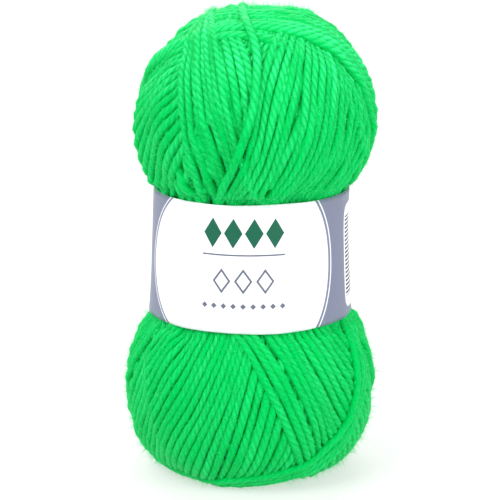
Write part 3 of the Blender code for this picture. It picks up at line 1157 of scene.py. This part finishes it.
def hair_points(count, longest, thick, shares, spread):
    """Rings of three points along each hair and one at its tip, for hairs that lean and bend."""
    places = np.vstack(spots)
    chosen = places[dice.integers(0, len(places), count)]
    root, outward, ahead = chosen[:, :3], chosen[:, 3:6], chosen[:, 6:]
    ahead = ahead / np.linalg.norm(ahead, axis=1)[:, None]
    beside = np.cross(outward, ahead)
    lean = dice.normal(0, spread, (count, 2))
    start = outward + lean[:, :1] * ahead + lean[:, 1:] * beside
    start /= np.linalg.norm(start, axis=1)[:, None]
    turn = dice.normal(0, HAIR_BEND, (count, 3))
    length = (longest * dice.beta(*HAIR_LENGTHS, count))[:, None]
    root = root + start * YARN_DIAMETER * HAIR_ROOT
    side_a = np.cross(start, turn)
    side_a /= np.linalg.norm(side_a, axis=1)[:, None]
    side_b = np.cross(start, side_a)
    points = []
    for share in (*shares, 1.0):
        centre = root + length * (share * start + 0.5 * share**2 * turn)
        centre[:, 2] = np.maximum(centre[:, 2], HAIR_FLOOR)
        for angle in np.arange(3 if share < 1 else 1) * 2 * math.pi / 3:
            across = math.cos(angle) * side_a + math.sin(angle) * side_b
            points.append(centre + thick * (1 - share) * across)
    return np.stack(points, axis=1)


def make_hairs(name, count, longest, thick, shares, spread, material):
    """Thin three-sided hairs that leave the strands, lean or bend over and end in a point."""
    points = hair_points(count, longest, thick, shares, spread)
    tip = 3 * len(shares)
    one = [(2, 1, 0)] + [(tip - 3 + c, tip - 3 + (c + 1) % 3, tip) for c in range(3)]
    for ring in range(0, tip - 3, 3):
        for c in range(3):
            d = (c + 1) % 3
            one.append((ring + c, ring + d, ring + 3 + d))
            one.append((ring + c, ring + 3 + d, ring + 3 + c))
    faces = np.arange(count)[:, None, None] * (tip + 1) + np.array(one)[None, :, :]
    hairs = new_piece(name, points.reshape(-1, 3), faces.reshape(-1, 3).tolist(), material)
    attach(hairs, "root")
    return len(hairs.data.polygons)


def loose_fibre():
    """A single acrylic fibre lets light through; its colour is painted lighter than the strand's to
    stand in for that light.
    """
    look = {"Base Color": linear("34F090"), "Roughness": 0.6, "Specular IOR Level": 0.1}
    return new_material("loose_acrylic_fibre", look)[0]


fibre_finish = loose_fibre()
for row in HAIRS:
    print(row[0], "triangles:", make_hairs(*row, fibre_finish))

# %% [markdown]
# ## The paper band
#
# The band is one strip of coated paper, printed on the outside, wrapped round the waist and
# glued where its ends overlap at the back. It is thin, so the strands under it press soft
# ripples through it, and its cut edges are not quite straight.

# %% Sheet of the band
SHEET_THICKNESS = 0.25
SHEET_COLUMNS = 256
SHEET_ROWS = 30
SHEET_INSET = 0.15  # the paper stays this far inside the band's height
OVERLAP = 12.0  # degrees of lap at the back
LAP_RAMP = 6.0  # degrees in which the sheet comes out from under its own end
LAP_GAP = 0.12  # between the two layers
BAND_LEVELS = np.linspace(BAND_FOOT, BAND_TOP, len(BAND_RADII))
EDGE_WAVES = ((0.12, 3, 0.6), (0.07, 7, 0.0))  # size, waves round the ball, shift
EDGE_RIPPLE, EDGE_RIPPLES = 0.06, 23  # strands press through beside the edges, this often
SHEET_SWELL, SHEET_SWELLS = 0.08, 5  # and the sheet swells between them, this often


def rim_faces(rows, columns):
    """Quads that join the outside and the inside round the sheet's edge."""
    foot = list(range(columns))
    right = [r * columns + columns - 1 for r in range(1, rows)]
    top = [(rows - 1) * columns + c for c in range(columns - 2, -1, -1)]
    left = [r * columns for r in range(rows - 2, 0, -1)]
    loop = foot + right + top + left
    inside = rows * columns
    return [(b, a, a + inside, b + inside) for a, b in zip(loop, loop[1:] + loop[:1])]


def make_band(material):
    """A closed thin sheet that starts under its own end at the back."""
    turn = np.linspace(180 - 360 - OVERLAP / 2, 180 + OVERLAP / 2, SHEET_COLUMNS)
    azimuth, share = np.meshgrid(turn, np.linspace(0, 1, SHEET_ROWS))
    angle = np.radians(azimuth)
    off_middle = 2 * share - 1
    edge_wave = sum(size * np.sin(waves * angle + shift) for size, waves, shift in EDGE_WAVES)
    height = BAND_FOOT + SHEET_INSET + (BAND_TOP - BAND_FOOT - 2 * SHEET_INSET) * share
    height += np.where(share > 0.5, 1, -1) * edge_wave * off_middle**6
    uneven = 1.5 * np.sin(3 * angle)
    ripple = EDGE_RIPPLE * np.sin(EDGE_RIPPLES * angle + uneven) * off_middle**4
    ripple += SHEET_SWELL * np.sin(SHEET_SWELLS * angle + 4 * share) * share * (1 - share) * 4
    under = smooth_step((azimuth - turn[0] - OVERLAP) / LAP_RAMP)
    outside = np.interp(height, BAND_LEVELS, BAND_RADII) + ripple
    outside = outside - (1 - under) * (SHEET_THICKNESS + LAP_GAP)
    outer = round_the_axis(outside, angle, height)
    inner = round_the_axis(outside - SHEET_THICKNESS, angle, height)
    points = np.vstack([outer.reshape(-1, 3), inner.reshape(-1, 3)])
    front = grid_quads(SHEET_ROWS, SHEET_COLUMNS, closed=False)
    back = front[:, ::-1] + SHEET_ROWS * SHEET_COLUMNS
    rim = rim_faces(SHEET_ROWS, SHEET_COLUMNS)
    band = new_piece("printed_band", points, front.tolist() + back.tolist() + rim, material)
    sheet = np.stack([angle * BAND_RADII[1], height, np.ones_like(angle)], axis=-1).reshape(-1, 3)
    sheet = np.vstack([sheet, sheet * (1, 1, 0)])
    keep_on_points(band, "sheet", "FLOAT_VECTOR", "vector", sheet)
    smooth = np.ones(len(band.data.polygons), bool)
    smooth[-len(rim) :] = False
    band.data.polygons.foreach_set("use_smooth", smooth)
    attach(band, "root")
    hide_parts("paper_band")
    return 2 * len(band.data.polygons)


print("degrees of paper:", 360 + OVERLAP)

# %% [markdown]
# ## The print
#
# Grey ink covers the sheet except for a large white panel with bowed sides. The panel carries a
# simple made-up pattern in dark green and grey, and a small white patch with even bars sits on
# the right. It is drawn from the sheet's own millimetres: x runs round the ball from the front
# and y is the height. Every shape is a test on x and y, so it stays sharp at any distance.

# %% The drawing, step by step
MIDDLE_OF_BAND = 0.5 * (BAND_FOOT + BAND_TOP)
PATTERN_X = -1.9  # middle of the pattern on the panel
ROW_REACH = 11.2  # half the length of its rows
PATCH_X, PATCH_Y = 42.2, 60.6  # middle of the patch
LOZENGE_PITCH = 2.8  # half the distance between two lozenges

PRINT_STEPS = (
    # result, operation, then its inputs: words are earlier results and numbers are fixed
    # the panel with bowed sides and the line round it
    ("up", "SUBTRACT", "y", MIDDLE_OF_BAND),
    ("up", "DIVIDE", "up", 17.2),
    ("bend", "ABSOLUTE", "up"),
    ("bend", "POWER", "bend", 2.2),
    ("half", "MULTIPLY_ADD", "bend", -7.45, 28.35),
    ("middle", "MULTIPLY_ADD", "bend", 2.05, -4.75),
    ("off_middle", "SUBTRACT", "x", "middle"),
    ("off_middle", "ABSOLUTE", "off_middle"),
    ("inside", "SUBTRACT", "half", "off_middle"),
    ("panel", "GREATER_THAN", "inside", 0.0),
    ("border", "COMPARE", "inside", -1.1, 0.22),
    # the patch with round corners
    ("patch_x", "SUBTRACT", "x", PATCH_X),
    ("patch_x", "DIVIDE", "patch_x", 9.8),
    ("patch_x", "ABSOLUTE", "patch_x"),
    ("patch_x", "POWER", "patch_x", 7.0),
    ("patch_y", "SUBTRACT", "y", PATCH_Y),
    ("patch_y", "DIVIDE", "patch_y", 14.2),
    ("patch_y", "ABSOLUTE", "patch_y"),
    ("patch_y", "POWER", "patch_y", 9.0),
    ("patch", "ADD", "patch_x", "patch_y"),
    ("patch", "LESS_THAN", "patch", 1.0),
    # even bars on the patch
    ("bars", "PINGPONG", "y", 0.55),
    ("bars", "LESS_THAN", "bars", 0.3),
    ("bars_wide", "COMPARE", "x", PATCH_X, 8.9),
    ("bars_high", "COMPARE", "y", PATCH_Y, 11.0),
    ("bars", "MULTIPLY", "bars", "bars_wide"),
    ("bars", "MULTIPLY", "bars", "bars_high"),
    # a row of lozenges with a rule under it
    ("row", "COMPARE", "x", PATTERN_X, ROW_REACH),
    ("lozenge_x", "SUBTRACT", "x", PATTERN_X + LOZENGE_PITCH),
    ("lozenge_x", "PINGPONG", "lozenge_x", LOZENGE_PITCH),
    ("lozenge_y", "SUBTRACT", "y", 71.0),
    ("lozenge_y", "ABSOLUTE", "lozenge_y"),
    ("lozenges", "MULTIPLY_ADD", "lozenge_y", 0.62, "lozenge_x"),
    ("lozenges", "LESS_THAN", "lozenges", 2.5),
    ("lozenges", "MULTIPLY", "lozenges", "row"),
    ("rule", "COMPARE", "y", 65.2, 0.22),
    ("rule", "MULTIPLY", "rule", "row"),
    # three open lozenges
    ("open_x", "SUBTRACT", "x", PATTERN_X),
    ("open_x", "PINGPONG", "open_x", 2.9),
    ("open_y", "SUBTRACT", "y", 58.3),
    ("open_y", "ABSOLUTE", "open_y"),
    ("open", "MULTIPLY_ADD", "open_y", 0.72, "open_x"),
    ("open", "COMPARE", "open", 2.1, 0.34),
    ("open_row", "COMPARE", "x", PATTERN_X, 8.7),
    ("open", "MULTIPLY", "open", "open_row"),
    # a row of dots
    ("dot_x", "SUBTRACT", "x", PATTERN_X),
    ("dot_x", "PINGPONG", "dot_x", 1.3),
    ("dot_y", "SUBTRACT", "y", 51.6),
    ("dot_y", "ABSOLUTE", "dot_y"),
    ("dots", "ADD", "dot_x", "dot_y"),
    ("dots", "LESS_THAN", "dots", 0.8),
    ("dots", "MULTIPLY", "dots", "row"),
    # what is white and what is grey
    ("white", "MAXIMUM", "panel", "border"),
    ("white", "MAXIMUM", "white", "patch"),
    ("grey", "MAXIMUM", "rule", "open"),
    ("grey", "MAXIMUM", "grey", "dots"),
)
print("steps in the drawing:", len(PRINT_STEPS))

# %% [markdown]
# ## The paper's finish
#
# The strip is wood-pulp paper, coated with clay and pressed smooth between rollers, then
# printed. The coating gives the eye an even white and a low, satin shine, and the pulp under
# it leaves a grain so fine that it only breaks up the highlights. The inside is bare white.

# %% Print and paper
PAPER_WHITE = "F7F9FF"
INK_GREY = "7A7F96"
INK_DARK = "666A7A"
INK_BLACK = "24262E"
INK_GREEN = "005E44"


def printed_paper():
    look = {"Roughness": 0.42, "IOR": 1.5, "Specular IOR Level": 0.35}
    material, shader = new_material("coated_printed_paper", look)
    tree = material.node_tree
    sheet = add(tree, "ShaderNodeAttribute", {"attribute_name": "sheet"}).outputs["Vector"]
    split = add(tree, "ShaderNodeSeparateXYZ", (), {0: sheet})
    made = dict(zip(("x", "y", "outside"), split.outputs))
    for result, operation, *inputs in PRINT_STEPS:
        numbers = {i: v for i, v in enumerate(inputs) if not isinstance(v, str)}
        sockets = {i: made[v] for i, v in enumerate(inputs) if isinstance(v, str)}
        step = add(tree, "ShaderNodeMath", {"operation": operation, **numbers}, sockets)
        made[result] = step.outputs[0]
    ground = {"data_type": "RGBA", "A": linear(INK_GREY), "B": linear(PAPER_WHITE)}
    colour = add(tree, "ShaderNodeMix", ground, {"Factor": made["white"]}).outputs["Result"]
    for ink, shape in ((INK_DARK, "grey"), (INK_BLACK, "bars"), (INK_GREEN, "lozenges")):
        over = {"data_type": "RGBA", "B": linear(ink)}
        colour = add(tree, "ShaderNodeMix", over, {"Factor": made[shape], "A": colour}).outputs["Result"]
    bare = {"data_type": "RGBA", "A": linear(PAPER_WHITE)}
    colour = add(tree, "ShaderNodeMix", bare, {"Factor": made["outside"], "B": colour}).outputs["Result"]
    grain = add(tree, "ShaderNodeTexNoise", {"Scale": 2.2, "Detail": 3.0}, {"Vector": sheet})
    relief = {"Strength": 0.12, "Distance": 0.00005}
    bump = add(tree, "ShaderNodeBump", relief, {"Height": grain.outputs[0]})
    tree.links.new(colour, shader.inputs["Base Color"])
    tree.links.new(bump.outputs["Normal"], shader.inputs["Normal"])
    return material


print("band triangles:", make_band(printed_paper()))

# %% [markdown]
# ## The studio
#
# The ball stands on a white light table. It glows evenly, so the ground stays clean white and
# shadows are faint. Large soft panels light the ball from the left, the right, above and behind.

# %% Floor, lights and background
FLOOR_REACH = 6000.0  # half the floor's side
FLOOR_GLOW = 0.58
SKY_GLOW = 0.31
PANELS = (
    # panel, place in metres, width, height, watts
    ("key_left", (-0.75, -0.75, 0.95), 0.9, 0.9, 13.3),
    ("fill_right", (0.95, -0.75, 0.5), 0.9, 0.9, 10.1),
    ("top", (-0.1, 0.1, 1.5), 2.6, 2.6, 18.6),
    ("back", (-0.2, 1.5, 1.0), 2.0, 1.4, 26),
)


def matt_white():
    """A matt white sheet, lit evenly from below."""
    look = {
        "Base Color": linear("A2A2A2"),
        "Roughness": 0.9,
        "Specular IOR Level": 0.1,
        "Emission Color": (1, 1, 1, 1),
        "Emission Strength": FLOOR_GLOW,
    }
    return new_material("matt_white_floor", look)[0]


def make_floor():
    corners = np.array([(-1, -1, 0), (1, -1, 0), (1, 1, 0), (-1, 1, 0)]) * FLOOR_REACH
    floor = new_piece("studio_floor", corners, [(0, 1, 2, 3)], matt_white())


def make_panel(name, place, width, height, watts):
    data = bpy.data.lights.new(name, "AREA")
    data.shape = "RECTANGLE"
    data.size = width
    data.size_y = height
    data.energy = watts
    panel = bpy.data.objects.new(name, data)
    bpy.context.scene.collection.objects.link(panel)
    panel.location = place
    aim = CAMERA_TARGET - Vector(place)
    panel.rotation_euler = aim.to_track_quat("-Z", "Y").to_euler()


def make_sky():
    world = bpy.data.worlds.new("white_tent")
    world.use_nodes = True
    tree = world.node_tree
    tree.nodes.clear()
    light = add(tree, "ShaderNodeBackground", {"Color": (1, 1, 1, 1), "Strength": SKY_GLOW})
    add(tree, "ShaderNodeOutputWorld", (), {"Surface": light.outputs[0]})
    bpy.context.scene.world = world


make_floor()
for row in PANELS:
    make_panel(*row)
make_sky()
bpy.context.scene.view_settings.view_transform = "Standard"
print("light panels:", len(PANELS))
